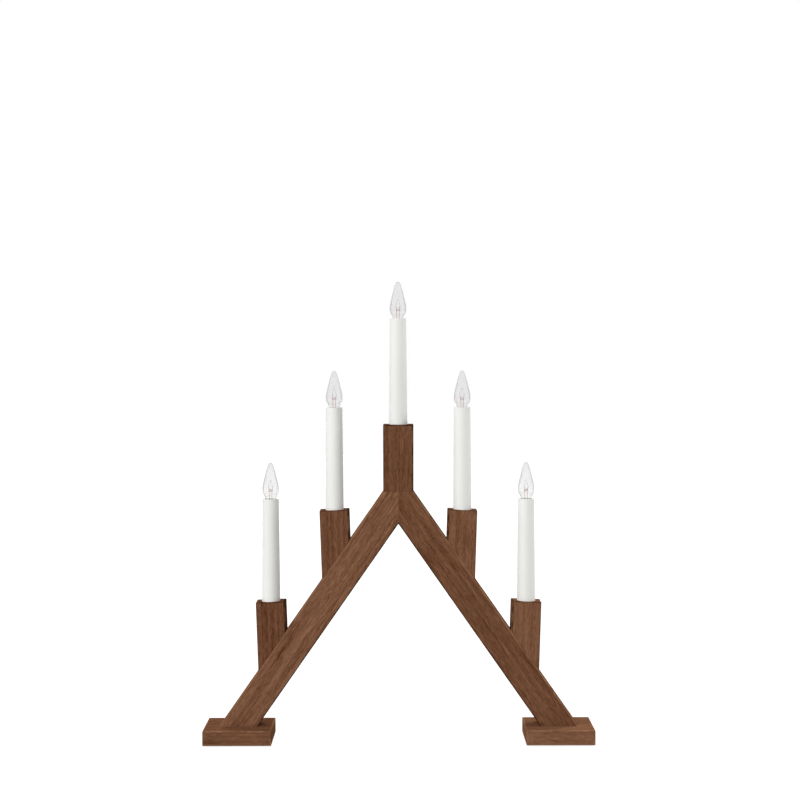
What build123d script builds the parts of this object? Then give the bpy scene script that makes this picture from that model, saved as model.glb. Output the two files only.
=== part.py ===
from build123d import *
from math import atan2, cos, degrees, pi, radians, sin, tan
import os

# An electric candle arch in stained wood, with five candle sleeves and screw-in lamps.
# Millimetres. X runs across the arch, the front faces -Y, and Z = 0 is what it stands on.
# The origin is the middle of the arch at that level.

# Wooden frame
candle_spacing = 60.0
foot_spacing = 301.0
arm_lean = 34.9
post_lean = 1.9
arm_width = 28.9
timber_depth = 20.0
side_post_width = 27.6
side_post_length = 48.4
centre_post_width = 28.3
centre_post_length = 62.7
foot_width = 64.0
foot_depth = 55.0
foot_height = 14.0
edge_round = 0.8

# Felt pads under the feet
pad_radius = 5.0
pad_thickness = 1.0
pad_inset = 10.0

# Dowel pins and foot screws
pin_radius = 3.0
pin_length = 24.0
pin_clearance = 0.05
fixing_set_back = 3.5
centre_pin_spacing = 14.0
mitre_pin_rise = 9.5
post_pin_shares = (0.48, 0.78)
screw_radius = 2.0
screw_length = 30.0
screw_head_radius = 4.0
screw_head_height = 2.4
screw_recess = 0.6
screw_spacing = 11.0
screw_shift = 6.0
screw_slot_width = 1.0
screw_slot_depth = 1.0

# Candle sleeves and the bores that hold them
sleeve_length = 110.0
sleeve_bottom_radius = 8.75
sleeve_top_radius = 7.65
sleeve_wall = 1.1
sleeve_rim_round = 0.35
side_seat_depth = 13.9
centre_seat_depth = 10.7
seat_clearance = 0.12

# Groove for the wiring in the back of the frame
groove_width = 6.0
groove_depth = 8.0
groove_web = 6.0
wire_hole_radius = 2.7
gland_rise = 22.0
cutter_overrun = 2.0

# Wiring
wire_radius = 0.9
wire_lane = 1.3
wire_lift = 0.3
hairpin_radius = 1.8
bend_radius = 6.0
apex_bend_radius = 2.0
gland_bend_radius = 1.9

# Keepers over the wires
keeper_length = 5.0
keeper_thickness = 1.4
keeper_clearance = 0.06
keeper_lift = 0.2
keeper_shares = (0.42, 0.75)
lower_keeper_share = 0.5

# Cable gland
gland_radius = 5.0
gland_flange_radius = 7.5
gland_flange_thickness = 2.0
gland_flange_round = 0.5
gland_body_length = 4.5
gland_bore_radius = 2.7
gland_fit = 0.05
gland_wire_gap = 0.2

# Lampholder, measured downwards from the sleeve's rim
holder_recess = 0.4
holder_length = 25.6
holder_floor = 4.0
holder_clearance = 0.1
holder_hole_clearance = 0.1

# Threaded contact shell
shell_top_depth = 4.8
shell_length = 12.6
shell_wall = 0.25
shell_fit = 0.1
shell_tab_width = 2.0
shell_tab_reach = 2.5
shell_sheet = 0.4

# Centre contact
contact_base_radius = 2.0
contact_sheet = 0.4
contact_stem_radius = 1.1
contact_lug_width = 1.6
contact_gap = 0.25

# Lamp thread
thread_pitch = 1.814
thread_minor_radius = 4.25
thread_crest_radius = 4.76
thread_crest_width = 0.45
thread_base_width = 1.0
thread_clearance = 0.3
thread_sink = 0.12

# Lamp cap
cap_top_depth = 4.0
cap_collar_height = 2.0
cap_collar_radius = 4.75
cap_thread_length = 8.4
cap_wall = 0.3
cap_end_radius = 3.2
cap_end_height = 0.5

# Lamp end contact
insulator_clearance = 0.2
insulator_face_radius = 1.9
insulator_length = 1.6
solder_radius = 1.3
solder_height = 0.8

# Lamp glass
glass_height = 34.2
glass_radius = 7.85
glass_wall = 0.5
glass_neck_clearance = 0.05
glass_seat_gap = 0.1
glass_tip_radius = 2.4
glass_tip_turn = 19.0
glass_rise_shares = (0.0, 0.065, 0.15, 0.25, 0.36, 0.49, 0.66, 0.82)
glass_width_shares = (0.66, 0.70, 0.945, 1.0, 0.965, 0.845, 0.66, 0.485)

# Filament, its leads and the glass bead
lead_radius = 0.22
lead_spacing = 2.4
lead_end_gap = 0.3
filament_foot_spacing = 4.2
filament_foot_rise = 11.5
filament_top_rise = 18.0
filament_bend_radius = 0.8
lead_bend_radius = 1.6
bead_radius = 2.1
bead_height = 2.6
bead_rise = 6.6

# Levels and lines worked out from those sizes
foot_base = pad_thickness
foot_top = foot_base + foot_height
slope = tan(radians(arm_lean))
arm_reach = arm_width / cos(radians(arm_lean)) / 2
arm_foot_x = foot_spacing / 2
apex_top = foot_top + (arm_foot_x + arm_reach - centre_post_width / 2) / slope
mitre_bottom = foot_top + (arm_foot_x - arm_reach) / slope
off_arm = Vector(cos(radians(arm_lean)), sin(radians(arm_lean)))
back_y = timber_depth / 2
groove_floor_y = back_y - groove_depth
wire_y = groove_floor_y + wire_lift + wire_radius
fixing_y = -fixing_set_back
gland_z = foot_top + gland_rise
gland_x = -(arm_foot_x - gland_rise * slope)
wire_end_y = back_y - gland_body_length - gland_wire_gap
centre_post_top = apex_top + centre_post_length
holder_radius = sleeve_top_radius - sleeve_wall - holder_clearance
seat_radius = sleeve_bottom_radius + seat_clearance

# Fits between lamp, shell and holder, and their levels from the sleeve's rim
shell_root_radius = thread_crest_radius + thread_clearance
shell_radius = shell_root_radius + shell_wall
holder_mouth_radius = shell_radius + shell_fit
glass_neck_radius = cap_collar_radius - cap_wall - glass_neck_clearance
insulator_radius = cap_end_radius - insulator_clearance
cap_shoulder_z = -cap_top_depth - cap_collar_height
cap_thread_end_z = cap_shoulder_z - cap_thread_length
lamp_end_z = cap_thread_end_z - cap_end_height - insulator_length - solder_height
shell_top_z = -shell_top_depth
shell_bottom_z = shell_top_z - shell_length
holder_floor_z = -holder_recess - holder_length + holder_floor


def arm_face_z(x):
    """Level of an arm's upper face at a distance x from the middle."""
    return foot_top + (arm_foot_x + arm_reach - abs(x)) / slope


def arm_mid_z(x):
    """Level of an arm's centre line at a distance x from the middle."""
    return foot_top + (arm_foot_x - abs(x)) / slope


def side_post_top(x):
    """Level of the middle of a side post's top."""
    return arm_face_z(x) + side_post_length


# Each candle: its name, its place across the arch, the top of its post and the depth of its seat
candles = [
    ("left_outer", -2 * candle_spacing, side_post_top(2 * candle_spacing), side_seat_depth),
    ("left_inner", -candle_spacing, side_post_top(candle_spacing), side_seat_depth),
    ("centre", 0, centre_post_top, centre_seat_depth),
    ("right_inner", candle_spacing, side_post_top(candle_spacing), side_seat_depth),
    ("right_outer", 2 * candle_spacing, side_post_top(2 * candle_spacing), side_seat_depth),
]


def extrude_timber(points, joints):
    """Timber cut to an upright outline, its edges eased except on the sides that meet a joint."""
    blank = extrude(Plane.XZ * make_face(Polyline(*points, close=True)), timber_depth / 2, both=True)
    spots = []
    for i, (x, z) in enumerate(points):
        next_x, next_z = points[(i + 1) % len(points)]
        if i not in joints:
            spots += [((x + next_x) / 2, y, (z + next_z) / 2) for y in (-back_y, back_y)]
            if (i - 1) % len(points) not in joints:
                spots.append((x, 0, z))
    return fillet([blank.edges().sort_by_distance(spot)[0] for spot in spots], edge_round)


def upright_rod(radius, length, place):
    """A rod that rises along Z from place."""
    return Pos(*place) * Cylinder(radius, length, align=(Align.CENTER, Align.CENTER, Align.MIN))


def milled_slot(start, end):
    """Outline of the cutter's path between two points: straight sides and round ends."""
    run = Vector(*end) - Vector(*start)
    middle = (Vector(*start) + Vector(*end)) / 2
    slot = SlotCenterToCenter(run.length, groove_width)
    return Pos(middle.X, middle.Y) * Rot(0, 0, degrees(atan2(run.Y, run.X))) * slot


def groove_cutter():
    """Everything that is milled in the back: a groove in each arm and one up to each post."""
    apex = (0, arm_mid_z(0))
    paths = [((gland_x, gland_z), apex), (apex, (2 * candle_spacing, arm_mid_z(2 * candle_spacing)))]
    for name, x, top, seat in candles:
        paths.append(((x, arm_mid_z(x)), (x, top - seat - groove_web)))
    outline = Sketch()
    for start, end in paths:
        outline += milled_slot(start, end)
    outline += Pos(gland_x, gland_z) * Circle(gland_radius + gland_fit)
    back_plane = Plane.XZ.offset(-back_y - cutter_overrun)
    return extrude(back_plane * outline, groove_depth + cutter_overrun)


def bore_cutter(x, top, seat):
    """The blind bore for a sleeve, and the wire hole from its floor into the groove."""
    floor = top - seat
    bore = upright_rod(seat_radius, seat + side_post_width, (x, 0, floor))
    hole_place = (x, wire_y + wire_radius, floor - groove_web)
    hole = upright_rod(wire_hole_radius, groove_web + cutter_overrun, hole_place)
    return bore + hole


def pin_places():
    """Middle point and direction of each dowel pin, on its joint face."""
    places = [((0, fixing_y, mitre_bottom + mitre_pin_rise), (1, 0, 0))]
    for side in (-1, 1):
        places.append(((side * centre_pin_spacing / 2, fixing_y, apex_top), (0, 0, 1)))
        for x in (candle_spacing, 2 * candle_spacing):
            for share in post_pin_shares:
                pin_x = x + side_post_width / 2 - share * side_post_width
                place = (side * pin_x, fixing_y, arm_face_z(pin_x))
                places.append((place, (side * off_arm.X, 0, off_arm.Y)))
    return places


def pin_solids(radius, length):
    """A rod for each dowel pin, or for the hole that it goes in."""
    return [Plane(place, z_dir=way) * Cylinder(radius, length) for place, way in pin_places()]


def screw_places():
    """Where the two screws in each foot stand."""
    middle = arm_foot_x - screw_shift
    xs = [middle - screw_spacing / 2, middle + screw_spacing / 2]
    return [(side * x, fixing_y, foot_base + screw_recess) for side in (-1, 1) for x in xs]


def countersunk(radius, head_radius, length, place):
    """A countersunk rod that rises from its head at place."""
    head = Cone(head_radius, radius, screw_head_height, align=(Align.CENTER, Align.CENTER, Align.MIN))
    return upright_rod(radius, length, place) + Pos(*place) * head


def foot_screw(place):
    """One countersunk wood screw with a slot in its head."""
    slot = Box(2 * screw_head_radius, screw_slot_width, screw_slot_depth)
    screw = countersunk(screw_radius, screw_head_radius, screw_length, place)
    return screw - Pos(*place) * slot


def screw_hole(place):
    """The hole for one foot screw, open at the foot's underside."""
    x, y, z = place
    head_radius = screw_head_radius + pin_clearance
    length = screw_length + pin_clearance
    mouth = upright_rod(head_radius, z, (x, y, 0))
    return countersunk(screw_radius + pin_clearance, head_radius, length, place) + mouth


def foot(side, cutters):
    """A foot block, drilled for its screws."""
    middle = (side * arm_foot_x, 0, foot_base + foot_height / 2)
    block = Pos(*middle) * Box(foot_width, foot_depth, foot_height)
    block = fillet(block.edges(), edge_round)
    return block - cutters


def arm(side, cutters):
    """A sloping arm: level at the foot and the apex, mitred on the centre line."""
    points = [
        (side * (arm_foot_x + arm_reach), foot_top),
        (side * (arm_foot_x - arm_reach), foot_top),
        (0, mitre_bottom),
        (0, apex_top),
        (side * centre_post_width / 2, apex_top),
    ]
    return extrude_timber(points, (0, 2, 3)) - cutters


def side_post_outline(x, top):
    """Corners of a leaning side post: a lower end that fits the arm's face, and a square top."""
    side = 1 if x > 0 else -1
    lean = radians(post_lean)
    along = Vector(sin(lean), cos(lean))
    across = Vector(cos(lean), -sin(lean)) * (side_post_width / 2)
    points = []
    for corner in (Vector(abs(x), top) - across, Vector(abs(x), top) + across):
        drop = (corner.Y - arm_face_z(corner.X)) / (along.Y + along.X / slope)
        points.append((corner, corner - along * drop))
    (inner_top, inner_foot), (outer_top, outer_foot) = points
    return [(side * p.X, p.Y) for p in (inner_foot, outer_foot, outer_top, inner_top)]


def post(x, top, cutters):
    """A post cut to its arm, with its sleeve bore, wire way and pin holes."""
    half = centre_post_width / 2
    outline = [(-half, apex_top), (half, apex_top), (half, top), (-half, top)]
    if x != 0:
        outline = side_post_outline(x, top)
    return extrude_timber(outline, (0,)) - cutters


def sleeve(x, floor):
    """A tapered candle sleeve with a rounded rim, standing on the floor of its bore."""
    outer_run = Line((sleeve_bottom_radius, 0), (sleeve_top_radius, sleeve_length))
    inner_run = Line(
        (sleeve_top_radius - sleeve_wall, sleeve_length), (sleeve_bottom_radius - sleeve_wall, 0)
    )
    rim = Line(outer_run @ 1, inner_run @ 0)
    base = Line(inner_run @ 1, outer_run @ 0)
    section = make_face([outer_run, rim, inner_run, base])
    rim_corners = section.vertices().sort_by(Axis.Y)[-2:]
    section = fillet(rim_corners, sleeve_rim_round)
    return Pos(x, 0, floor) * revolve(Plane.XZ * section, Axis.Z)


def ring_solid(points):
    """A turned piece from (radius, height) points."""
    return revolve(Plane.XZ * make_face(Polyline(*points, close=True)), Axis.Z)


def tube_ring(inner, outer, bottom, top):
    """A plain turned ring."""
    return ring_solid([(inner, bottom), (outer, bottom), (outer, top), (inner, top)])


def thread_ridge(base_radius, crest_radius, start, turns):
    """A helical ridge with a trapezoid section, from base_radius out or in to crest_radius."""
    sink = thread_sink if crest_radius > base_radius else -thread_sink
    path = Helix(thread_pitch, turns * thread_pitch, base_radius)
    base_half = thread_base_width / 2
    crest_half = thread_crest_width / 2
    corners = [
        (base_radius - sink, -base_half),
        (crest_radius, -crest_half),
        (crest_radius, crest_half),
        (base_radius - sink, base_half),
    ]
    section = Plane.XZ * make_face(Polyline(*corners, close=True))
    return Pos(0, 0, start) * sweep(section, path=path, is_frenet=True)


def lampholder():
    """The insulating body in the sleeve's top, with a hole in its floor for each wire."""
    top = -holder_recess
    bottom = top - holder_length
    body = upright_rod(holder_radius, holder_length, (0, 0, bottom))
    body -= upright_rod(holder_mouth_radius, holder_length, (0, 0, bottom + holder_floor))
    hole_radius = wire_radius + holder_hole_clearance
    for side in (-1, 1):
        body -= upright_rod(hole_radius, holder_floor, (side * wire_lane, wire_y, bottom))
    return body


def contact_shell():
    """The threaded shell that takes the lamp cap, with a tab for the wire from the first side."""
    wall = tube_ring(shell_root_radius, shell_radius, shell_bottom_z, shell_top_z)
    crest = thread_minor_radius + thread_clearance
    start = shell_thread_start()
    turns = int((shell_top_z - thread_base_width / 2 - start) / thread_pitch)
    ridge = thread_ridge(shell_root_radius, crest, start, turns)
    tab_angle = degrees(atan2(wire_y, -wire_lane))
    disc = tube_ring(shell_tab_reach, shell_radius, shell_bottom_z, shell_bottom_z + shell_sheet)
    outwards = (Align.MIN, Align.CENTER, Align.CENTER)
    strip = Box(2 * shell_radius, shell_tab_width, shell_length, align=outwards)
    tab = disc & (Pos(0, 0, shell_bottom_z) * Rot(0, 0, tab_angle) * strip)
    return wall + ridge + tab


def cap_thread_start():
    """Level of the lower end of the cap's thread."""
    return cap_thread_end_z + thread_base_width / 2


def shell_thread_start():
    """Level of the lower end of the shell's thread, half a pitch out of step with the cap's."""
    lowest = shell_bottom_z + shell_sheet + thread_base_width / 2
    steps = int((lowest - cap_thread_start()) / thread_pitch)
    return cap_thread_start() + (steps + 1 / 2) * thread_pitch


def centre_contact():
    """The contact under the lamp, riveted to the holder's floor, with a lug over its wire."""
    base = upright_rod(contact_base_radius, contact_sheet, (0, 0, holder_floor_z))
    stem_length = lamp_end_z - contact_gap - contact_stem_radius - holder_floor_z
    stem = upright_rod(contact_stem_radius, stem_length, (0, 0, holder_floor_z))
    dome = Pos(0, 0, holder_floor_z + stem_length) * Sphere(contact_stem_radius)
    reach = Vector(wire_lane, wire_y)
    lug_outline = SlotCenterToCenter(reach.length, contact_lug_width)
    lug = Pos(reach.X / 2, reach.Y / 2) * Rot(0, 0, degrees(atan2(reach.Y, reach.X))) * lug_outline
    return base + stem + dome + Pos(0, 0, holder_floor_z) * extrude(lug, contact_sheet)


def lamp_cap():
    """The lamp's screw cap: a thin shell with a collar, a rolled thread and a turned-in end."""
    end = cap_thread_end_z - cap_end_height
    points = [
        (cap_collar_radius, -cap_top_depth),
        (cap_collar_radius, cap_shoulder_z),
        (thread_minor_radius, cap_shoulder_z - cap_wall),
        (thread_minor_radius, cap_thread_end_z),
        (cap_end_radius + cap_wall, end),
        (cap_end_radius, end),
        (cap_end_radius, end + cap_wall),
        (thread_minor_radius - cap_wall, cap_thread_end_z + cap_wall),
        (thread_minor_radius - cap_wall, cap_shoulder_z),
        (cap_collar_radius - cap_wall, cap_shoulder_z),
        (cap_collar_radius - cap_wall, -cap_top_depth),
    ]
    turns = int((cap_thread_length - thread_base_width) / thread_pitch)
    ridge = thread_ridge(thread_minor_radius, thread_crest_radius, cap_thread_start(), turns)
    return ring_solid(points) + ridge


def lamp_contact():
    """The end contact: a dark insulator in the cap's end with a bead of solder under it."""
    top = cap_thread_end_z + cap_wall
    face = lamp_end_z + solder_height
    insulator = ring_solid([
        (0, face),
        (insulator_face_radius, face),
        (insulator_radius, face + insulator_length / 2),
        (insulator_radius, top),
        (0, top),
    ])
    half_turn = radians(45)
    middle = (solder_radius * sin(half_turn), face - solder_height * cos(half_turn))
    dome = ThreePointArc((0, lamp_end_z), middle, (solder_radius, face))
    edge = Polyline((solder_radius, face), (0, face), (0, lamp_end_z))
    solder = revolve(Plane.XZ * make_face([*dome.edges(), *edge.edges()]), Axis.Z)
    return insulator + solder


def flame_line(inset):
    """The flame's side and its rounded tip, an inset inside the glass's surface."""
    shares = zip(glass_rise_shares, glass_width_shares)
    points = [(glass_radius * width - inset, glass_height * rise) for rise, width in shares]
    radius = glass_tip_radius - inset
    tip_centre = glass_height - glass_tip_radius
    turns = [radians(glass_tip_turn), radians(glass_tip_turn + 90) / 2, radians(90)]
    tip = [(radius * cos(turn), tip_centre + radius * sin(turn)) for turn in turns]
    return Spline(*points, tip[0]), ThreePointArc(*tip)


def lamp_glass():
    """The open-necked glass envelope and the glass bead that grips the leads."""
    neck_z = cap_shoulder_z + glass_seat_gap
    outer, outer_tip = flame_line(0)
    inner, inner_tip = flame_line(glass_wall)
    neck_inner_radius = glass_neck_radius - glass_wall
    neck = Polyline(
        outer @ 0,
        (glass_neck_radius, -cap_top_depth),
        (glass_neck_radius, neck_z),
        (neck_inner_radius, neck_z),
        (neck_inner_radius, -cap_top_depth),
        inner @ 0,
    )
    axis_edge = Line((0, glass_height), (0, glass_height - glass_wall))
    edges = [outer, outer_tip, neck, inner, inner_tip, axis_edge]
    section = make_face([edge for curve in edges for edge in curve.edges()])
    envelope = revolve(Plane.XZ * section, Axis.Z)
    bead = upright_rod(bead_radius, bead_height, (0, 0, bead_rise))
    bead = fillet(bead.edges().filter_by(GeomType.CIRCLE), bead_height / 3)
    return Compound([*envelope.solids(), *(bead - lamp_filament()).solids()])


def lamp_filament():
    """Both leads and the filament bent over between them, as one fine wire."""
    lead_x = lead_spacing / 2
    foot_x = filament_foot_spacing / 2
    end = cap_thread_end_z + cap_wall + lead_end_gap
    points = [
        (-lead_x, 0, end),
        (-lead_x, 0, bead_rise + bead_height),
        (-foot_x, 0, filament_foot_rise),
        (0, 0, filament_top_rise),
        (foot_x, 0, filament_foot_rise),
        (lead_x, 0, bead_rise + bead_height),
        (lead_x, 0, end),
    ]
    radii = [lead_bend_radius, *[filament_bend_radius] * 3, lead_bend_radius]
    return tube(points, radii, lead_radius)


def tube(points, radii, radius):
    """A round wire along straight runs joined by tangent arcs."""
    path = FilletPolyline(*points, radius=radii)
    start = Plane(path @ 0, z_dir=path % 0)
    solid = sweep(start * Circle(radius), path=path)
    share = solid.volume / (pi * radius**2 * path.length)
    print("wire", round(path.length, 1), "long, bends", radii, "volume share", round(share, 4))
    return solid


def lane_point(side, distance, lane):
    """Where a wire in a lane of an arm's groove passes at that distance from the middle."""
    z = arm_mid_z(distance) + lane / sin(radians(arm_lean))
    return (side * distance, wire_y, z)


def terminal(candle, side):
    """Where a wire ends inside a lampholder: under the shell's tab or under the centre lug."""
    name, x, top, seat = candle
    rim = top - seat + sleeve_length
    end = shell_bottom_z if side < 0 else holder_floor_z
    return (x + side * wire_lane, wire_y, rim + end)


def link_wire(start, end):
    """The wire from the centre contact of one lamp to the shell of the next."""
    first = terminal(start, 1)
    last = terminal(end, -1)
    start_arm = -1 if start[1] < 0 else 1
    end_arm = 1 if end[1] > 0 else -1
    points = [first, lane_point(start_arm, abs(first[0]), wire_lane)]
    points += [lane_point(end_arm, abs(last[0]), wire_lane), last]
    bends = [hairpin_radius if start[1] < 0 else bend_radius]
    bends += [hairpin_radius if end[1] > 0 else bend_radius]
    return tube(points, bends, wire_radius)


def gland_point(lane, y):
    """Where a wire in a lane passes under the gland's bore."""
    shift = off_arm * lane
    return (gland_x - shift.X, y, gland_z + shift.Y)


def lead_in_wire():
    """The wire from the gland to the first lamp."""
    last = terminal(candles[0], -1)
    points = [gland_point(wire_lane, wire_end_y), gland_point(wire_lane, wire_y)]
    points += [lane_point(-1, abs(last[0]), wire_lane), last]
    return tube(points, [gland_bend_radius, bend_radius], wire_radius)


def return_wire():
    """The wire from the last lamp back over the apex to the gland, in the lower lane."""
    first = terminal(candles[-1], 1)
    points = [first, lane_point(1, abs(first[0]), -wire_lane), lane_point(1, 0, -wire_lane)]
    points += [gland_point(-wire_lane, wire_y), gland_point(-wire_lane, wire_end_y)]
    return tube(points, [hairpin_radius, apex_bend_radius, gland_bend_radius], wire_radius)


def keeper(side, distance):
    """A strip pressed into an arm's groove over the wires."""
    height = wire_y + wire_radius + keeper_lift + keeper_thickness / 2
    width = groove_width - 2 * keeper_clearance
    strip = Box(width, keeper_thickness, keeper_length)
    strip = fillet(strip.edges().filter_by(Axis.Y), keeper_thickness / 3)
    return Pos(side * distance, height, arm_mid_z(distance)) * Rot(0, -side * arm_lean, 0) * strip


def wire_keepers():
    """The keepers along both grooves."""
    places = [(-1, 2 * candle_spacing * share) for share in keeper_shares]
    places += [(1, 2 * candle_spacing * share) for share in keeper_shares]
    lower_run = -gland_x - 2 * candle_spacing
    places.append((-1, 2 * candle_spacing + lower_keeper_share * lower_run))
    return [keeper(side, distance) for side, distance in places]


def cable_gland():
    """A flanged gland pressed into the groove's lower end, with a bore for the mains lead."""
    inner_end = back_y - gland_body_length
    outer_end = back_y + gland_flange_thickness
    section = make_face(Polyline(
        (gland_bore_radius, inner_end),
        (gland_radius, inner_end),
        (gland_radius, back_y),
        (gland_flange_radius, back_y),
        (gland_flange_radius, outer_end),
        (gland_bore_radius, outer_end),
        close=True,
    ))
    section = fillet(section.vertices().sort_by(Axis.Y)[-2:], gland_flange_round)
    turned = revolve(Plane.XZ * section, Axis.Z)
    return Pos(gland_x, 0, gland_z) * Rot(-90, 0, 0) * turned


def felt_pads():
    """Four felt discs under each foot."""
    reach_x = foot_width / 2 - pad_inset
    reach_y = foot_depth / 2 - pad_inset
    pads = []
    for side in (-1, 1):
        for x in (-reach_x, reach_x):
            for y in (-reach_y, reach_y):
                pads.append(upright_rod(pad_radius, pad_thickness, (side * arm_foot_x + x, y, 0)))
    return pads


def build_parts():
    """Every piece of the arch by name."""
    pieces = {}
    groove = groove_cutter()
    bores = [bore_cutter(x, top, seat) for name, x, top, seat in candles]
    pin_holes = pin_solids(pin_radius + pin_clearance, pin_length + 2 * pin_clearance)
    screw_holes = [screw_hole(place) for place in screw_places()]
    for name, side in (("left", -1), ("right", 1)):
        pieces["foot_" + name] = foot(side, screw_holes)
        pieces["arm_" + name] = arm(side, [groove, *pin_holes, *screw_holes])
    for (name, x, top, seat), bore in zip(candles, bores):
        pieces["post_" + name] = post(x, top, [groove, bore, *pin_holes])
    pieces["dowel_pins"] = Compound(pin_solids(pin_radius, pin_length))
    pieces["foot_screws"] = Compound([foot_screw(place) for place in screw_places()])
    pieces["felt_pads"] = Compound(felt_pads())
    pieces["cable_gland"] = cable_gland()
    pieces["wire_keepers"] = Compound(wire_keepers())
    pieces["wire_lead_in"] = lead_in_wire()
    for start, end in zip(candles, candles[1:]):
        pieces["wire_" + start[0] + "_to_" + end[0]] = link_wire(start, end)
    pieces["wire_return"] = return_wire()
    in_sleeve = {
        "lampholder": lampholder(),
        "contact_shell": contact_shell(),
        "centre_contact": centre_contact(),
        "lamp_cap": lamp_cap(),
        "lamp_contact": lamp_contact(),
        "lamp_glass": lamp_glass(),
        "lamp_filament": lamp_filament(),
    }
    for name, x, top, seat in candles:
        pieces["sleeve_" + name] = sleeve(x, top - seat)
        rim = top - seat + sleeve_length
        for piece_name, piece in in_sleeve.items():
            pieces[piece_name + "_" + name] = Pos(x, 0, rim) * piece
    return pieces


os.makedirs("parts", exist_ok=True)
for piece_name, piece in build_parts().items():
    export_step(piece, "parts/" + piece_name + ".step")
    print(piece_name, "solids", len(piece.solids()), "volume", round(piece.volume, 1))
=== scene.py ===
from math import atan2, cos, hypot, pi, radians, sin, tan

import bmesh
import bpy
from mathutils import Matrix, Vector


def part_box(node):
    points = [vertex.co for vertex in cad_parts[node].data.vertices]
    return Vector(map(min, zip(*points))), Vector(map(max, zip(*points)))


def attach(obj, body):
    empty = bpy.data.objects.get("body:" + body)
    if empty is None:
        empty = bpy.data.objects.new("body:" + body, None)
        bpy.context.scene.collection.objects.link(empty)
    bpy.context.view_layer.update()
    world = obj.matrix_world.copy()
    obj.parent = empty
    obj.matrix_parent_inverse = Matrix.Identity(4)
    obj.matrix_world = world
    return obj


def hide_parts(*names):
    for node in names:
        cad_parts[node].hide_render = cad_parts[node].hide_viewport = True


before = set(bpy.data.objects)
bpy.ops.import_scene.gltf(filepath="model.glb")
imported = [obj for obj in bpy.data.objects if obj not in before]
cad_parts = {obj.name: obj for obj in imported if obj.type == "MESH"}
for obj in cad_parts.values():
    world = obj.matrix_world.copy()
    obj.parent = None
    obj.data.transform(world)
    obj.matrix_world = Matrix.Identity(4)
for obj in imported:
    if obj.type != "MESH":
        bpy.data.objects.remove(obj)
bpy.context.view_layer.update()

# The two feet are flat blocks of stained hardwood with the grain running across the arch. They are
# sawn, planed and lightly sanded along the edges, then dipped in a thin walnut-brown stain that
# leaves the pores darker. Their edges are painted a little paler, partly rubbed stain and partly a
# painted highlight.
mm = 0.001
# The pale grain tone also paints the highlight on the left arm's upper edge.
pale_stain_and_highlight = (0.294, 0.144, 0.080, 1)
stain_deep = (0.086, 0.027, 0.009, 1)
# The rubbed edge colour is also a painted highlight. The dark edge colour is painted shade on the
# arms.
rubbed_stain_and_highlight = (0.335, 0.168, 0.092, 1)
dark_edge_and_painted_shade = (0.032, 0.012, 0.005, 1)
stain_sheen = 0.0
pore_colour = (0.030, 0.009, 0.004, 1)
pith_offset = (31 * mm, 44 * mm, 0)
ring_scale = 330.0
fibre_scale = 1350.0
streak_scale = 330.0
cloud_scale = 42.0
pore_scale = 2600.0
sway_scale = 11.0
sway_reach = (7 * mm, 7 * mm, 0)
ring_weight = 0.28
fibre_weight = 1.45
streak_weight = 0.75
cloud_weight = 0.30
pore_weight = 0.35
grain_relief = 0.16 * mm
foot_tones = {"foot_left": 0.52, "foot_right": 0.71}
# The edge band where rubbed stain, darker edges, painted highlights and painted shade go.
edge_band_width = 1.6 * mm
edge_patch_scale = 75.0
edge_colour_share = 0.9


def add(tree, kind, inputs=None, **settings):
    """A shader node with its settings. Each input is given a value or wired to another socket."""
    made = tree.nodes.new(kind)
    for name, value in settings.items():
        setattr(made, name, value)
    for key, value in (inputs or {}).items():
        if isinstance(value, bpy.types.NodeSocket):
            tree.links.new(value, made.inputs[key])
        else:
            made.inputs[key].default_value = value
    return made


def worked(tree, operation, first, second=0.0):
    """The result of one sum on numbers, as a socket."""
    return add(tree, "ShaderNodeMath", {0: first, 1: second}, operation=operation).outputs[0]


def summed(tree, base, value, weight):
    """A base with a weighted share of a value added to it, as a socket."""
    return worked(tree, "ADD", worked(tree, "MULTIPLY", value, weight), base)


def moved(tree, operation, first, second=(0, 0, 0)):
    """The result of one sum on points, as a socket."""
    return add(tree, "ShaderNodeVectorMath", {0: first, 1: second}, operation=operation).outputs[0]


def along(tree, point, share):
    """Points for a pattern that runs long in Z where the share is under 1, and short over it."""
    return moved(tree, "MULTIPLY", point, (1, 1, share))


def distance_of(tree, point):
    """How far a point lies from the origin, as a socket."""
    return add(tree, "ShaderNodeVectorMath", {0: point}, operation="LENGTH").outputs["Value"]


def mask(tree, value, start, end):
    """A soft step from 0 at start to 1 at end."""
    settings = {"Value": value, "From Min": start, "From Max": end}
    return add(tree, "ShaderNodeMapRange", settings, interpolation_type="SMOOTHSTEP").outputs[0]


def mixed(tree, share, first, second):
    """Two colours mixed by a share, as a socket."""
    return add(tree, "ShaderNodeMix", {0: share, 6: first, 7: second}, data_type="RGBA").outputs[2]


def noise(tree, point, scale, detail=2.0, roughness=0.5):
    """Cloudy noise from 0 to 1 at a point, as a socket."""
    settings = {"Vector": point, "Scale": scale, "Detail": detail, "Roughness": roughness}
    return add(tree, "ShaderNodeTexNoise", settings).outputs[0]


def new_group(name, inputs, outputs):
    """An empty node group with named sockets, and the two nodes that its inside hangs between."""
    group = bpy.data.node_groups.new(name, "ShaderNodeTree")
    for socket, kind, value in inputs:
        made = group.interface.new_socket(socket, in_out="INPUT", socket_type=kind)
        if value is not None:
            made.default_value = value
    for socket, kind in outputs:
        group.interface.new_socket(socket, in_out="OUTPUT", socket_type=kind)
    given = group.nodes.new("NodeGroupInput").outputs
    out = group.nodes.new("NodeGroupOutput").inputs
    return group, given, out


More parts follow.
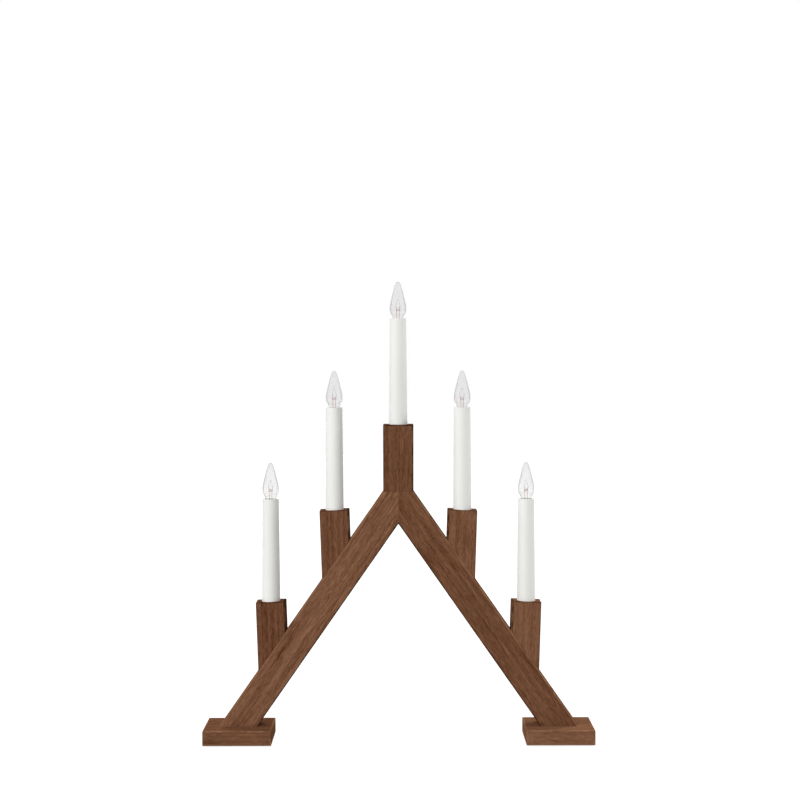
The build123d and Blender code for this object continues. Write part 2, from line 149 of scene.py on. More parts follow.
def grain_group():
    """Solid timber grain that runs along Z: growth rings, fibres, open pores and stain clouds."""
    group, given, out = new_group(
        "timber_grain",
        [
            ("Vector", "NodeSocketVector", None),
            ("Pale", "NodeSocketColor", pale_stain_and_highlight),
            ("Deep", "NodeSocketColor", stain_deep),
            ("Pore", "NodeSocketColor", pore_colour),
            ("Tone", "NodeSocketFloat", 0.5),
            ("Contrast", "NodeSocketFloat", 1.0),
        ],
        [
            ("Color", "NodeSocketColor"),
            ("Roughness", "NodeSocketFloat"),
            ("Height", "NodeSocketFloat"),
        ],
    )
    settings = {"Vector": along(group, given["Vector"], 0.35), "Scale": sway_scale, "Detail": 1.0}
    sway = add(group, "ShaderNodeTexNoise", settings).outputs["Color"]
    sway = moved(group, "MULTIPLY", moved(group, "SUBTRACT", sway, (0.5, 0.5, 0.5)), sway_reach)
    point = moved(group, "ADD", given["Vector"], sway)
    from_pith = along(group, moved(group, "SUBTRACT", point, pith_offset), 0.03)
    settings = {"W": distance_of(group, from_pith), "Scale": ring_scale, "Detail": 2.0}
    rings = add(group, "ShaderNodeTexNoise", settings, noise_dimensions="1D").outputs[0]
    fibre = noise(group, along(group, point, 0.10), fibre_scale, 4.0, 0.70)
    streak = noise(group, along(group, point, 0.06), streak_scale)
    cloud = noise(group, along(group, point, 0.4), cloud_scale)
    dash = noise(group, along(group, point, 0.09), pore_scale, 1.0)
    pore = mask(group, dash, 0.60, 0.70)
    layers = [
        (rings, ring_weight),
        (fibre, fibre_weight),
        (streak, streak_weight),
        (cloud, cloud_weight),
    ]
    paleness = given["Tone"]
    for value, weight in layers:
        swing = worked(group, "MULTIPLY", worked(group, "SUBTRACT", value, 0.5), weight)
        paleness = summed(group, paleness, swing, given["Contrast"])
    share = add(group, "ShaderNodeClamp", {0: paleness}).outputs[0]
    body = mixed(group, share, given["Deep"], given["Pale"])
    coloured = mixed(group, worked(group, "MULTIPLY", pore, pore_weight), body, given["Pore"])
    rough = summed(group, summed(group, 0.50, fibre, 0.22), pore, 0.15)
    height = summed(group, worked(group, "MULTIPLY", fibre, 0.7), streak, 0.3)
    height = summed(group, height, pore, -0.6)
    group.links.new(coloured, out["Color"])
    group.links.new(rough, out["Roughness"])
    group.links.new(height, out["Height"])
    return group


def edge_wear_and_light_group():
    """Edge band for rubbed stain, darker edges and painted highlight and shade: 1 on the edges, 0
    on the faces.
    """
    group, given, out = new_group(
        "edge_wear_and_painted_light",
        [
            ("Vector", "NodeSocketVector", None),
            ("Half Size", "NodeSocketVector", None),
            ("Band", "NodeSocketFloat", edge_band_width),
        ],
        [("Mask", "NodeSocketFloat")],
    )
    inside = moved(group, "SUBTRACT", given["Half Size"], moved(group, "ABSOLUTE", given["Vector"]))
    near = []
    for distance in add(group, "ShaderNodeSeparateXYZ", {0: inside}).outputs:
        near.append(mask(group, worked(group, "DIVIDE", distance, given["Band"]), 1.0, 0.4))
    pairs = [worked(group, "MULTIPLY", near[i], near[i - 1]) for i in range(3)]
    edge = worked(group, "MAXIMUM", worked(group, "MAXIMUM", pairs[0], pairs[1]), pairs[2])
    patchy = mask(group, noise(group, given["Vector"], edge_patch_scale, 3.0), 0.30, 0.58)
    group.links.new(worked(group, "MULTIPLY", edge, patchy), out["Mask"])
    return group


timber_grain = grain_group()
edge_wear_and_painted_light = edge_wear_and_light_group()


def new_material(name):
    """A material with its tree, its shader and the piece's own coordinates."""
    material = bpy.data.materials.new(name)
    material.use_nodes = True
    tree = material.node_tree
    point = tree.nodes.new("ShaderNodeTexCoord").outputs["Object"]
    return material, tree, tree.nodes["Principled BSDF"], point


def wire_up(tree, shader, **sockets):
    """Wires sockets to the shader's inputs, an underscore standing for each space."""
    for name, value in sockets.items():
        tree.links.new(value, shader.inputs[name.replace("_", " ")])


def bumped(tree, height, distance, strength=1.0):
    """A normal that follows a height, as a socket."""
    settings = {"Height": height, "Distance": distance, "Strength": strength}
    return add(tree, "ShaderNodeBump", settings).outputs[0]


def stained_timber(name, middle, turn, half_size, tone, edges, contrast=1.0):
    """Stained timber for one piece: the grain runs along its own Z after the turn.

    The two edge colours are for the sides on which the piece's own X is below and above zero.
    """
    material, tree, shader, point = new_material(name)
    settings = {"Vector": point, "Location": middle, "Rotation": turn}
    own = add(tree, "ShaderNodeMapping", settings, vector_type="TEXTURE").outputs[0]
    settings = {"Vector": moved(tree, "ADD", own, middle), "Tone": tone, "Contrast": contrast}
    grain = add(tree, "ShaderNodeGroup", settings, node_tree=timber_grain).outputs
    settings = {"Vector": own, "Half Size": half_size}
    edge_band = add(tree, "ShaderNodeGroup", settings, node_tree=edge_wear_and_painted_light).outputs
    # Edge colours mixed in here: rubbed stain, darker edges, painted highlights and painted shade.
    edge_colour_mask = worked(tree, "MULTIPLY", edge_band["Mask"], edge_colour_share)
    side = worked(tree, "GREATER_THAN", add(tree, "ShaderNodeSeparateXYZ", {0: own}).outputs[0])
    edged = mixed(tree, edge_colour_mask, grain["Color"], mixed(tree, side, *edges))
    normal = bumped(tree, grain["Height"], grain_relief)
    wire_up(tree, shader, Base_Color=edged, Roughness=grain["Roughness"], Normal=normal)
    shader.inputs["Specular IOR Level"].default_value = stain_sheen
    return material


def dress(node, material):
    """Gives a node of the frame its finish."""
    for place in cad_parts[node].material_slots:
        place.material = material


grain_across = (0, pi / 2, 0)
for foot, tone in foot_tones.items():
    low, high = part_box(foot)
    across, deep, tall = (high - low) / 2
    half_size = (tall, deep, across)
    middle = (low + high) / 2
    # Paler edges all round, partly rubbed stain and partly a painted highlight.
    edges = (rubbed_stain_and_highlight, rubbed_stain_and_highlight)
    dress(foot, stained_timber(foot + "_stain", middle, grain_across, half_size, tone, edges))

# Four discs of pressed wool felt are glued under each foot, so that the arch doesn't mark a window
# sill. The felt is cut from grey-brown sheet and its fibres lie every way.
felt_brown = (0.105, 0.078, 0.058, 1)
felt_fleck = (0.230, 0.185, 0.145, 1)
felt_fibre_scale = 1900.0
felt_lump_scale = 420.0
felt_relief = 0.3 * mm


def felt_material():
    """Felt: short tangled fibres of two shades, with a soft nap."""
    material, tree, shader, point = new_material("pressed_felt")
    tangle = noise(tree, point, felt_fibre_scale, 5.0, 0.7)
    lump = noise(tree, point, felt_lump_scale)
    fleck = worked(tree, "MULTIPLY", mask(tree, tangle, 0.42, 0.66), mask(tree, lump, 0.2, 0.7))
    colour = mixed(tree, fleck, felt_brown, felt_fleck)
    rough = summed(tree, 0.85, lump, 0.1)
    normal = bumped(tree, tangle, felt_relief)
    wire_up(tree, shader, Base_Color=colour, Roughness=rough, Normal=normal)
    shader.inputs["Sheen Weight"].default_value = 0.3
    return material


dress("felt_pads", felt_material())

# Two countersunk wood screws go up through each foot into its arm. They are zinc plated steel with
# a straight slot, bright, with the faint turning marks that plating leaves showing.
zinc_bright = (0.58, 0.58, 0.57, 1)
zinc_dull = (0.40, 0.40, 0.38, 1)
mark_scale = 900.0
mark_relief = 0.02 * mm


def metal_material(name, bright, dull, tarnish_scale, roughness, dullness):
    """Plated or rolled metal: a bright ground with duller clouds and fine marks round it."""
    material, tree, shader, point = new_material(name)
    marks = noise(tree, along(tree, point, 9), mark_scale)
    tarnish = mask(tree, noise(tree, point, tarnish_scale, 3.0), 0.42, 0.72)
    colour = mixed(tree, tarnish, bright, dull)
    rough = summed(tree, summed(tree, roughness, tarnish, dullness), marks, 0.08)
    normal = bumped(tree, marks, mark_relief)
    wire_up(tree, shader, Base_Color=colour, Roughness=rough, Normal=normal)
    shader.inputs["Metallic"].default_value = 1.0
    return material


zinc = metal_material(
    "zinc_plate", zinc_bright, zinc_dull, tarnish_scale=180.0, roughness=0.24, dullness=0.18
)
dress("foot_screws", zinc)

# The two arms are straight timbers of the same wood, cut level where they stand on the feet and
# where they carry the centre post, and mitred together on the centre line. Their grain runs up the
# slope. Their lower edges carry a painted shade and their upper edges a painted highlight.
arm_lean = radians(34.9)
arm_half_width = 14.45 * mm
arm_half_depth = 10 * mm
arm_foot_x = 150.5 * mm
foot_top = 15 * mm
arm_middle_rise = 110 * mm
past_the_ends = 1.0
arm_looks = {"arm_left": (-1, 0.65, 1.5), "arm_right": (1, 0.43, 1.15)}

for arm, (side, tone, contrast) in arm_looks.items():
    reach = arm_foot_x - arm_middle_rise * tan(arm_lean)
    middle = Vector((side * reach, 0, foot_top + arm_middle_rise))
    half_size = (arm_half_width, arm_half_depth, past_the_ends)
    turn = (0, -side * arm_lean, 0)
    # Painted highlight on the upper edge, painted shade on the lower one.
    edges = (pale_stain_and_highlight, dark_edge_and_painted_shade) if side < 0 else (dark_edge_and_painted_shade, rubbed_stain_and_highlight)
    dress(arm, stained_timber(arm + "_stain", middle, turn, half_size, tone, edges, contrast))

# The five posts are short timbers glued and dowelled to the arms. The four at the sides lean
# outwards and are cut slantwise to sit on the arm. The middle one stands on the flat apex. Their
# edges are darker, the glued lower ends less so than the free ones.
side_post_half_width = 13.8 * mm
centre_post_half_width = 14.15 * mm
post_lean = radians(1.9)
post_contrast = 1.1
glued_end = Vector((0, 0, 1.0 * mm))
post_looks = {
    "left_outer": (-1, 0.33),
    "left_inner": (-1, 0.43),
    "centre": (0, 0.37),
    "right_inner": (1, 0.58),
    "right_outer": (1, 0.65),
}

for name, (side, tone) in post_looks.items():
    low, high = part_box("post_" + name)
    low = low - glued_end
    middle = (low + high) / 2
    half_width = side_post_half_width if side else centre_post_half_width
    half_size = (half_width, arm_half_depth, (high.z - low.z) / 2)
    turn = (0, side * post_lean, 0)
    edges = (dark_edge_and_painted_shade, dark_edge_and_painted_shade)
    post = "post_" + name
    stain = stained_timber(post + "_stain", middle, turn, half_size, tone, edges, post_contrast)
    dress(post, stain)

# Fluted beech dowels hold every joint. They are turned from bare pale wood and sit wholly inside
# the timbers, glued.
beech_pale = (0.60, 0.41, 0.24, 1)
beech_deep = (0.43, 0.26, 0.13, 1)
beech_fleck = (0.25, 0.13, 0.06, 1)


def beech_material():
    """Bare beech with its small flecks."""
    material, tree, shader, point = new_material("bare_beech")
    settings = {"Vector": point, "Pale": beech_pale, "Deep": beech_deep, "Pore": beech_fleck}
    grain = add(tree, "ShaderNodeGroup", settings, node_tree=timber_grain).outputs
    normal = bumped(tree, grain["Height"], grain_relief)
    wire_up(tree, shader, Base_Color=grain["Color"], Roughness=grain["Roughness"], Normal=normal)
    return material


dress("dowel_pins", beech_material())

# The wiring lies in a groove milled in the back: single-core wires in white insulation, one from
# the gland, four from lamp to lamp and one back, with nylon keepers pressed in over them and a
# brown gland for the mains lead in the groove's lower end.
insulation_white = (0.72, 0.72, 0.68, 1)
insulation_grey = (0.60, 0.60, 0.56, 1)
nylon_white = (0.66, 0.65, 0.60, 1)
nylon_grey = (0.55, 0.54, 0.49, 1)
gland_brown = (0.085, 0.042, 0.024, 1)
gland_worn = (0.130, 0.070, 0.043, 1)
moulding_cloud_scale = 95.0


def plastic_material(name, plain, shade, roughness, texture_scale, relief):
    """Moulded or extruded plastic: a plain colour with faint clouds and a fine tool texture."""
    material, tree, shader, point = new_material(name)
    cloud = noise(tree, point, moulding_cloud_scale, 3.0)
    texture = noise(tree, point, texture_scale, 3.0)
    colour = mixed(tree, mask(tree, cloud, 0.35, 0.75), plain, shade)
    rough = summed(tree, roughness, texture, 0.16)
    normal = bumped(tree, texture, relief)
    wire_up(tree, shader, Base_Color=colour, Roughness=rough, Normal=normal)
    return material


insulation = plastic_material(
    "wire_insulation",
    insulation_white,
    insulation_grey,
    roughness=0.28,
    texture_scale=700.0,
    relief=0.01 * mm,
)
keeper_nylon = plastic_material(
    "keeper_nylon",
    nylon_white,
    nylon_grey,
    roughness=0.34,
    texture_scale=900.0,
    relief=0.02 * mm,
)
gland_plastic = plastic_material(
    "gland_plastic",
    gland_brown,
    gland_worn,
    roughness=0.42,
    texture_scale=1600.0,
    relief=0.04 * mm,
)
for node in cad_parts:
    if node.startswith("wire_") and node != "wire_keepers":
        dress(node, insulation)
dress("wire_keepers", keeper_nylon)
dress("cable_gland", gland_plastic)

# A lampholder sits in the top of each sleeve: a cream moulded body, a threaded brass shell that
# takes the lamp's cap, and a riveted brass contact under it.
holder_cream = (0.88, 0.87, 0.83, 1)
holder_shade = (0.83, 0.82, 0.77, 1)
brass_bright = (0.78, 0.56, 0.25, 1)
brass_dull = (0.46, 0.29, 0.11, 1)
candles = ("left_outer", "left_inner", "centre", "right_inner", "right_outer")

holder_plastic = plastic_material(
    "holder_plastic",
    holder_cream,
    holder_shade,
    roughness=0.45,
    texture_scale=1200.0,
    relief=0.03 * mm,
)
brass = metal_material(
    "rolled_brass", brass_bright, brass_dull, tarnish_scale=260.0, roughness=0.22, dullness=0.20
)
for name in candles:
    dress("lampholder_" + name, holder_plastic)
    dress("contact_shell_" + name, brass)
    dress("centre_contact_" + name, brass)

# The candle sleeves are tapered tubes of matt off-white plastic, injection moulded, with a small
# round at the rim. Each is pushed down into the bore of its post and reaches over its lampholder.
sleeve_bottom_radius = 8.75 * mm
sleeve_top_radius = 7.65 * mm
sleeve_wall = 1.1 * mm
sleeve_rim_round = 0.35 * mm
sleeve_rim_segments = 3
sleeve_relief = 0.012 * mm
sleeve_white = (0.874, 0.876, 0.846, 1)
sleeve_shade = (0.838, 0.841, 0.813, 1)
turned_steps = 96
same_place = 0.001 * mm


def spun(outline, steps):
    """A closed outline of (radius, height) points turned round Z, with its faces outwards."""
    shape = bmesh.new()
    ring = [shape.verts.new((radius, 0, height)) for radius, height in outline]
    edges = [shape.edges.new(pair) for pair in zip(ring, ring[1:] + ring[:1])]
    upright = {"cent": (0, 0, 0), "axis": (0, 0, 1)}
    bmesh.ops.spin(shape, geom=ring + edges, angle=2 * pi, steps=steps, use_merge=True, **upright)
    bmesh.ops.remove_doubles(shape, verts=shape.verts, dist=2 * same_place)
    bmesh.ops.dissolve_degenerate(shape, edges=shape.edges, dist=same_place)
    bmesh.ops.recalc_face_normals(shape, faces=shape.faces)
    return shape


def eased(shape, level, width, segments):
    """Rounds the ring edges of a turned shape that lie at a level."""
    rings = []
    for edge in shape.edges:
        first, second = (corner.co for corner in edge.verts)
        on_level = abs(first.z - level) < same_place and abs(second.z - level) < same_place
        if on_level and abs(hypot(*first.xy) - hypot(*second.xy)) < same_place:
            rings.append(edge)
    bmesh.ops.bevel(
        shape, geom=rings, offset=width, segments=segments, profile=0.5, affect="EDGES", material=-1
    )


def place_piece(name, shape, place, material, body, node, crease=35):
    """Sets a shape down in the frame as a piece, sharp where it turns by more than the crease."""
    mesh = bpy.data.meshes.new(name)
    shape.to_mesh(mesh)
    mesh.transform(Matrix.Translation(place))
    mesh.shade_smooth()
    mesh.set_sharp_from_angle(angle=radians(crease))
    mesh.materials.append(material)
    piece = bpy.data.objects.new(name, mesh)
    bpy.context.scene.collection.objects.link(piece)
    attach(piece, body)
    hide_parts(node)
    return piece


def sleeve_material():
    """Matt moulded plastic with a faint cloudiness and the fine flow lines of the moulding."""
    material, tree, shader, point = new_material("candle_plastic")
    cloud = noise(tree, along(tree, point, 0.3), 60.0, 3.0)
    flow = noise(tree, along(tree, point, 0.04), 800.0)
    fine = noise(tree, point, 2400.0)
    colour = mixed(tree, mask(tree, cloud, 0.3, 0.75), sleeve_white, sleeve_shade)
    rough = summed(tree, 0.40, flow, 0.12)
    normal = bumped(tree, summed(tree, fine, flow, 0.5), sleeve_relief)
    wire_up(tree, shader, Base_Color=colour, Roughness=rough, Normal=normal)
    return material


candle_plastic = sleeve_material()
for name in candles:
    low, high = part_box("sleeve_" + name)
    length = high.z - low.z
    outline = [
        (sleeve_bottom_radius, 0),
        (sleeve_top_radius, length),
        (sleeve_top_radius - sleeve_wall, length),
        (sleeve_bottom_radius - sleeve_wall, 0),
    ]
    tube = spun(outline, turned_steps)
    eased(tube, length, sleeve_rim_round, sleeve_rim_segments)
    seat = Vector(((low.x + high.x) / 2, 0, low.z))
    node = "sleeve_" + name
    place_piece("candle_" + node, tube, seat, candle_plastic, "root", node)

# Each lamp has a nickel plated screw cap of thin sheet with a rolled thread. Its collar is crimped
# round the glass neck, and the lower end is turned in round the insulator.
thread_pitch = 1.814 * mm
thread_minor_radius = 4.25 * mm
thread_crest_radius = 4.76 * mm
cap_wall = 0.3 * mm
cap_top = -4.0 * mm
cap_collar_height = 2.0 * mm
cap_collar_radius = 4.75 * mm
cap_thread_length = 8.4 * mm
cap_end_radius = 3.2 * mm
cap_end_height = 0.5 * mm
thread_rows_per_turn = 12
nickel_bright = (0.66, 0.64, 0.60, 1)
nickel_dull = (0.50, 0.48, 0.44, 1)
cap_shoulder = cap_top - cap_collar_height
cap_thread_end = cap_shoulder - cap_thread_length
lamp_nickel = metal_material(
    "nickel_plate", nickel_bright, nickel_dull, tarnish_scale=300.0, roughness=0.18, dullness=0.16
)


def rolled_thread(shape, low, high):
    """Presses a right-handed rounded thread into the walls of a turned shape, low to high."""
    lead_in = thread_pitch / 2
    for corner in shape.verts:
        x, y, z = corner.co
        radius = hypot(x, y)
        if not low <= z <= high or radius < cap_end_radius + cap_wall:
            continue
        turn = (z - low) / thread_pitch - 1 / 4 - atan2(y, x) / (2 * pi)
        fade = min(1, (z - low) / lead_in, (high - z) / lead_in)
        swell = (thread_crest_radius - thread_minor_radius) * fade * (1 + cos(2 * pi * turn)) / 2
        corner.co.xy = corner.co.xy * ((radius + swell) / radius)


def cap_shape():
    """The cap: collar, threaded wall with enough rows to carry the thread, and turned-in end."""
    rows = int(cap_thread_length / thread_pitch * thread_rows_per_turn)
    levels = [cap_thread_end + cap_thread_length * i / rows for i in range(rows + 1)]
    end = cap_thread_end - cap_end_height
    bore = thread_minor_radius - cap_wall
    collar_bore = cap_collar_radius - cap_wall
    outline = [
        (collar_bore, cap_top),
        (cap_collar_radius, cap_top),
        (cap_collar_radius, cap_shoulder),
        *[(thread_minor_radius, z) for z in reversed(levels[:-1])],
        (cap_end_radius + cap_wall, end),
        (cap_end_radius, end),
        (cap_end_radius, end + cap_wall),
        *[(bore, z) for z in levels[1:-1]],
        (bore, cap_shoulder),
        (collar_bore, cap_shoulder),
    ]
    shape = spun(outline, turned_steps)
    rolled_thread(shape, cap_thread_end, cap_shoulder - cap_wall)
    return shape


rims = {}
for name in candles:
    low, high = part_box("sleeve_" + name)
    rims[name] = Vector(((low.x + high.x) / 2, 0, high.z))
cap = cap_shape()
for name, rim in rims.items():
    body = "lamp_" + name
    node = "lamp_cap_" + name
    place_piece("screw_cap_" + name, cap, rim, lamp_nickel, body, node)

# Below the cap a plug of black glass, pressed in hot, insulates the lamp's end contact. That is a
# drop of solder over the end of the wire.
insulator_radius = 3.0 * mm
insulator_face_radius = 1.9 * mm
insulator_length = 1.6 * mm
solder_radius = 1.3 * mm
solder_height = 0.8 * mm
insulator_black = (0.012, 0.011, 0.013, 1)
insulator_grey = (0.035, 0.033, 0.036, 1)
solder_bright = (0.62, 0.62, 0.63, 1)
solder_dull = (0.38, 0.38, 0.39, 1)
insulator_face = cap_thread_end - cap_end_height - insulator_length
insulator_top = cap_thread_end + cap_wall
plug_outline = [
    (0, insulator_face),
    (insulator_face_radius, insulator_face),
    (insulator_radius, insulator_face + insulator_length / 2),
    (insulator_radius, insulator_top),
    (0, insulator_top),
]
drop_steps = 8
drop_outline = []
for i in range(drop_steps + 1):
    t = radians(90) * i / drop_steps
    drop_outline.append((solder_radius * sin(t), insulator_face - solder_height * cos(t)))
drop_outline.append((0, insulator_face))
small_steps = 48
plug = spun(plug_outline, small_steps)
drop = spun(drop_outline, small_steps)
plug_glass = plastic_material(
    "black_glass",
    insulator_black,
    insulator_grey,
    roughness=0.12,
    texture_scale=500.0,
    relief=0.02 * mm,
)
solder = metal_material(
    "solder", solder_bright, solder_dull, tarnish_scale=500.0, roughness=0.30, dullness=0.25
)
for name, rim in rims.items():
    body = "lamp_end_" + name
    node = "lamp_contact_" + name
    place_piece("insulator_" + name, plug, rim, plug_glass, body, node, crease=30)
    place_piece("solder_drop_" + name, drop, rim, solder, body, node)

# The envelope is one thin-walled flame of clear glass, blown and drawn out to a sealed tip. Its
# open neck is cemented into the cap's collar. It casts next to no shadow on what it stands round.
glass_height = 34.2 * mm
glass_radius = 7.85 * mm
glass_wall = 0.5 * mm
glass_tip_radius = 2.4 * mm
glass_tip_turn = radians(19)
glass_neck_radius = 4.4 * mm
glass_side_steps = 6
glass_tip_steps = 8
glass_rise_shares = (0.0, 0.065, 0.15, 0.25, 0.36, 0.49, 0.66, 0.82)
glass_width_shares = (0.66, 0.70, 0.945, 1.0, 0.965, 0.845, 0.66, 0.485)
glass_clear = (0.884, 0.880, 0.884, 1)
# The grey painted as shade where the glass is seen edge on.
glass_edge_painted_shade = (0.27, 0.27, 0.29, 1)
neck_end = cap_shoulder + 0.1 * mm


def through(points, steps):
    """A smooth run of points through a few given ones."""
    ends = [points[0], *points, points[-1]]
    run = []
    for before, start, end, after in zip(ends, ends[1:], ends[2:], ends[3:]):
        for i in range(steps):
            t = i / steps
            pull = (end - before) * (t - 2 * t**2 + t**3) / 2 + (after - start) * (t**3 - t**2) / 2
            run.append(start * (1 - 3 * t**2 + 2 * t**3) + end * (3 * t**2 - 2 * t**3) + pull)
    return [*run, points[-1]]


def flame_line(inset):
    """The flame's side and its rounded tip, drawn in by an inset."""
    shares = zip(glass_width_shares, glass_rise_shares)
    side = [Vector((glass_radius * width - inset, glass_height * rise)) for width, rise in shares]
    tip_centre = Vector((0, glass_height - glass_tip_radius))
    tip = []
    for i in range(glass_tip_steps + 1):
        turn = glass_tip_turn + (pi / 2 - glass_tip_turn) * i / glass_tip_steps
        tip.append(tip_centre + Vector((cos(turn), sin(turn))) * (glass_tip_radius - inset))
    return through([*side, tip[0]], glass_side_steps) + tip[1:]


def envelope_shape():
    """The glass envelope with its inner and outer faces, its sealed tip and its neck."""
    outer = flame_line(0)
    inner = flame_line(glass_wall)
    neck = [
        Vector((glass_neck_radius - glass_wall, cap_top)),
        Vector((glass_neck_radius - glass_wall, neck_end)),
        Vector((glass_neck_radius, neck_end)),
        Vector((glass_neck_radius, cap_top)),
    ]
    outline = [*outer, *reversed(inner), *neck]
    return spun([tuple(p) for p in outline], turned_steps)


def glass_material(name, clear, edge_shade_colour, roughness):
    """Clear glass with a painted grey shade where it is seen edge on, and faint drawing marks."""
    material, tree, shader, point = new_material(name)
    edge_on = add(tree, "ShaderNodeLayerWeight", {"Blend": 0.5}).outputs["Facing"]
    # Painted shade: the colour turns grey where the glass is seen edge on.
    edge_shaded = mixed(tree, mask(tree, edge_on, 0.30, 0.95), clear, edge_shade_colour)
    smear = noise(tree, along(tree, point, 0.3), 160.0)
    rough = summed(tree, roughness, smear, 0.03)
    wire_up(tree, shader, Base_Color=edge_shaded, Roughness=rough)
    shader.inputs["IOR"].default_value = 1.5
    shader.inputs["Transmission Weight"].default_value = 1.0
    return material


lamp_glass = glass_material("lamp_glass", glass_clear, glass_edge_painted_shade, roughness=0.0)
envelope = envelope_shape()
for name, rim in rims.items():
    body = "lamp_" + name
    node = "lamp_glass_" + name
    piece = "envelope_" + name
    glass = place_piece(piece, envelope, rim, lamp_glass, body, node, crease=60)
    glass.visible_shadow = False

# Inside, two copper-coated leads come up from the cap, are gripped by a pinched glass bead and
# spread to carry a finely coiled tungsten filament, bent over in the middle.
bead_radius = 2.1 * mm
bead_height = 2.6 * mm
bead_rise = 6.6 * mm
bead_steps = 10
bead_fullness = 0.6
lead_radius = 0.22 * mm
lead_half_spacing = 1.2 * mm
lead_end = cap_thread_end + cap_wall + 0.3 * mm
filament_foot_half = 2.1 * mm
filament_foot_rise = 11.5 * mm
filament_top_rise = 18.0 * mm
coil_radius = 0.17 * mm
coil_wire_radius = 0.05 * mm
coil_turns = 36
coil_points_per_turn = 8
bead_glass_clear = (0.70, 0.64, 0.61, 1)
# The bead's second colour is painted shade where it is seen edge on.
bead_glass_edge_painted_shade = (0.34, 0.29, 0.28, 1)
copper_bright = (0.70, 0.45, 0.35, 1)
copper_dull = (0.48, 0.30, 0.23, 1)
tungsten_bright = (0.30, 0.29, 0.28, 1)
tungsten_dull = (0.16, 0.155, 0.15, 1)


def bead_shape():
    """A lump of glass, rounder at its ends than a rod."""
    outline = []
    for i in range(bead_steps + 1):
        t = pi * i / bead_steps
        height = bead_rise + bead_height / 2 * (1 - cos(t))
        outline.append((bead_radius * sin(t) ** bead_fullness, height))
    return spun(outline, small_steps)


def drawn_wire(name, points, radius, material, lamp):
    """A fine wire of one lamp along points given from its sleeve's rim, as a curve."""
    curve = bpy.data.curves.new(name, "CURVE")
    curve.dimensions = "3D"
    curve.bevel_depth = radius
    curve.bevel_resolution = 2
    curve.use_fill_caps = True
    line = curve.splines.new("NURBS")
    line.points.add(len(points) - 1)
    for target, point in zip(line.points, points):
        target.co = (*(Vector(point) + rims[lamp]), 1)
    line.order_u = 3
    line.use_endpoint_u = True
    line.resolution_u = 4
    curve.materials.append(material)
    piece = bpy.data.objects.new(name, curve)
    bpy.context.scene.collection.objects.link(piece)
    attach(piece, "lamp_" + lamp)
    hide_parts("lamp_filament_" + lamp)


def coil_points():
    """The filament's coil, up one side of the bend and down the other."""
    count = coil_turns * coil_points_per_turn
    points = []
    for i in range(count + 1):
        share = 2 * i / count - 1
        x = filament_foot_half * share
        z = filament_top_rise - (filament_top_rise - filament_foot_rise) * abs(share)
        turn = 2 * pi * i / coil_points_per_turn
        points.append((x, coil_radius * cos(turn), z - coil_radius * (1 + sin(turn))))
    return points


bead_glass = glass_material("bead_glass", bead_glass_clear, bead_glass_edge_painted_shade, roughness=0.02)
copper = metal_material(
    "copper_lead", copper_bright, copper_dull, tarnish_scale=600.0, roughness=0.25, dullness=0.20
)
tungsten = metal_material(
    "tungsten", tungsten_bright, tungsten_dull, tarnish_scale=900.0, roughness=0.35, dullness=0.20
)
bead = bead_shape()
for name, rim in rims.items():
    body = "lamp_" + name
    node = "lamp_glass_" + name
    piece = "glass_bead_" + name
    place_piece(piece, bead, rim, bead_glass, body, node, crease=80)
    for side, word in ((-1, "left"), (1, "right")):
        x = side * lead_half_spacing
        points = [
            (x, 0, lead_end),
            (x, 0, bead_rise - bead_height),
            (x, 0, bead_rise + bead_height),
            (side * filament_foot_half, 0, filament_foot_rise - bead_height / 4),
            (side * filament_foot_half, 0, filament_foot_rise),
        ]
        drawn_wire(f"lead_{word}_{name}", points, lead_radius, copper, name)
    drawn_wire("filament_coil_" + name, coil_points(), coil_wire_radius, tungsten, name)

# The studio: a plain pale floor that keeps the arch's shadow, white surroundings, large soft lights
# from the left and the front, a smaller one level with the arch on its right, and one above and
# behind it. The floor and the surroundings look white, and light the arch no more than grey ones.
floor_half = 4.0
floor_white = (0.42, 0.42, 0.42, 1)
floor_shade = (0.41, 0.41, 0.41, 1)
floor_lift_near = 0.82
floor_lift_far = 0.92
lift_reach = (0.5, 1.6)
surround_level = 0.26
lights = {
    "left_light": {"turn": -62, "rise": 20, "distance": 6.0, "width": 3.0, "power": 168.0},
    "front_light": {"turn": -5, "rise": 26, "distance": 3.4, "width": 1.6, "power": 45.0},
    "right_light": {"turn": 96, "rise": 15, "distance": 2.4, "width": 0.7, "power": 20.0},
    "rear_light": {"turn": 158, "rise": 62, "distance": 2.8, "width": 1.0, "power": 30.0},
}
aim = Vector((0, 0, 0.2))


def seen_directly(tree):
    """1 where the camera, a reflection or a view through glass meets a surface, else 0."""
    path = tree.nodes.new("ShaderNodeLightPath").outputs
    either = worked(tree, "MAXIMUM", path["Is Camera Ray"], path["Is Glossy Ray"])
    return worked(tree, "MAXIMUM", either, path["Is Transmission Ray"])


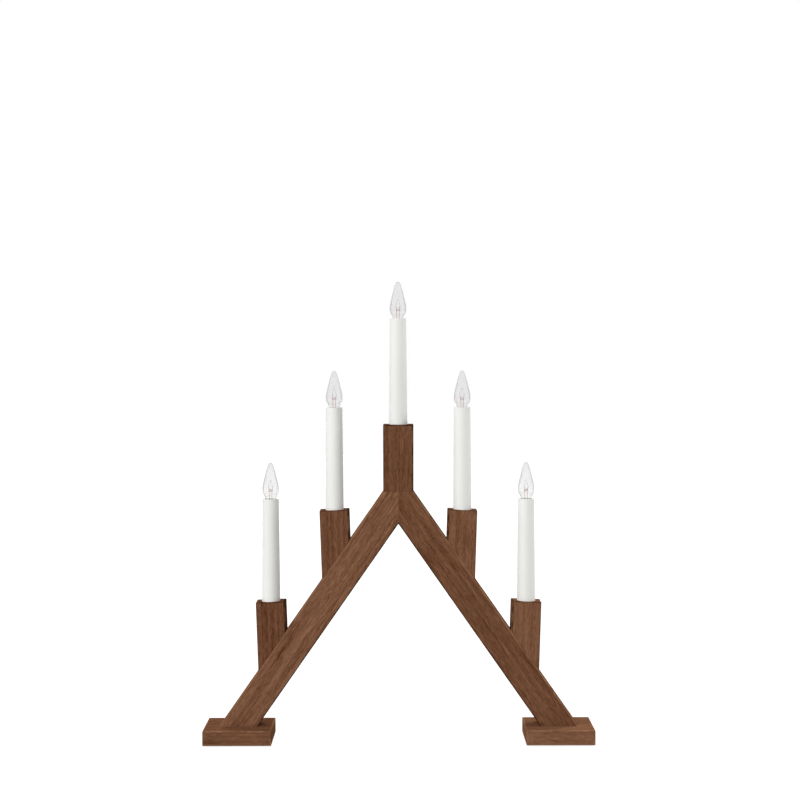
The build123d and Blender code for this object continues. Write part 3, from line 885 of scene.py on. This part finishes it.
def floor_material():
    """A pale floor that looks white, takes a shadow by the arch and fades out far away."""
    material, tree, shader, point = new_material("pale_floor")
    cloud = noise(tree, point, 30.0)
    wire_up(tree, shader, Base_Color=mixed(tree, cloud, floor_white, floor_shade))
    shader.inputs["Roughness"].default_value = 1.0
    shader.inputs["Specular IOR Level"].default_value = 0.0
    further = mask(tree, distance_of(tree, point), *lift_reach)
    lift = summed(tree, floor_lift_near, further, floor_lift_far - floor_lift_near)
    lift = worked(tree, "MULTIPLY", seen_directly(tree), lift)
    glow = add(tree, "ShaderNodeEmission", {"Strength": lift})
    both = add(tree, "ShaderNodeAddShader", {0: shader.outputs[0], 1: glow.outputs[0]})
    tree.links.new(both.outputs[0], tree.nodes["Material Output"].inputs["Surface"])
    return material


floor_shape = bmesh.new()
bmesh.ops.create_grid(floor_shape, x_segments=1, y_segments=1, size=floor_half)
floor_mesh = bpy.data.meshes.new("floor")
floor_shape.to_mesh(floor_mesh)
floor_mesh.materials.append(floor_material())
floor = bpy.data.objects.new("floor", floor_mesh)
bpy.context.scene.collection.objects.link(floor)

world = bpy.data.worlds.new("white_room")
bpy.context.scene.world = world
world.use_nodes = True
sky = world.node_tree
level = summed(sky, surround_level, seen_directly(sky), 1 - surround_level)
sky.nodes["Background"].inputs["Color"].default_value = (1, 1, 1, 1)
sky.links.new(level, sky.nodes["Background"].inputs["Strength"])


def soft_light(name, turn, rise, distance, width, power):
    """A square soft light that faces the arch, turned from the front and raised, in degrees."""
    across, up = radians(turn), radians(rise)
    lamp = bpy.data.lights.new(name, "AREA")
    lamp.size = width
    lamp.energy = power
    stand = bpy.data.objects.new(name, lamp)
    way = Vector((sin(across) * cos(up), -cos(across) * cos(up), sin(up)))
    stand.location = aim + way * distance
    stand.rotation_euler = (-way).to_track_quat("-Z", "Y").to_euler()
    stand.visible_glossy = False
    stand.visible_transmission = False
    bpy.context.scene.collection.objects.link(stand)


for name, settings in lights.items():
    soft_light(name, **settings)

# The camera stands a metre and a half in front of the arch, near the height of its tallest candle,
# and looks very slightly down.
camera_place = Vector((1.71, -1500, 371.4)) * mm
camera_tilt = radians(1.92)
camera_roll = radians(0.12)
camera_lens = 72
camera_film_width = 36
camera_data = bpy.data.cameras.new("camera")
camera_data.lens = camera_lens
camera_data.sensor_width = camera_film_width
camera = bpy.data.objects.new("camera", camera_data)
camera.rotation_mode = "ZYX"
camera.rotation_euler = (pi / 2 - camera_tilt, 0, -camera_roll)
camera.location = camera_place
bpy.context.scene.collection.objects.link(camera)
bpy.context.scene.camera = camera
bpy.context.scene.view_settings.view_transform = "Standard"
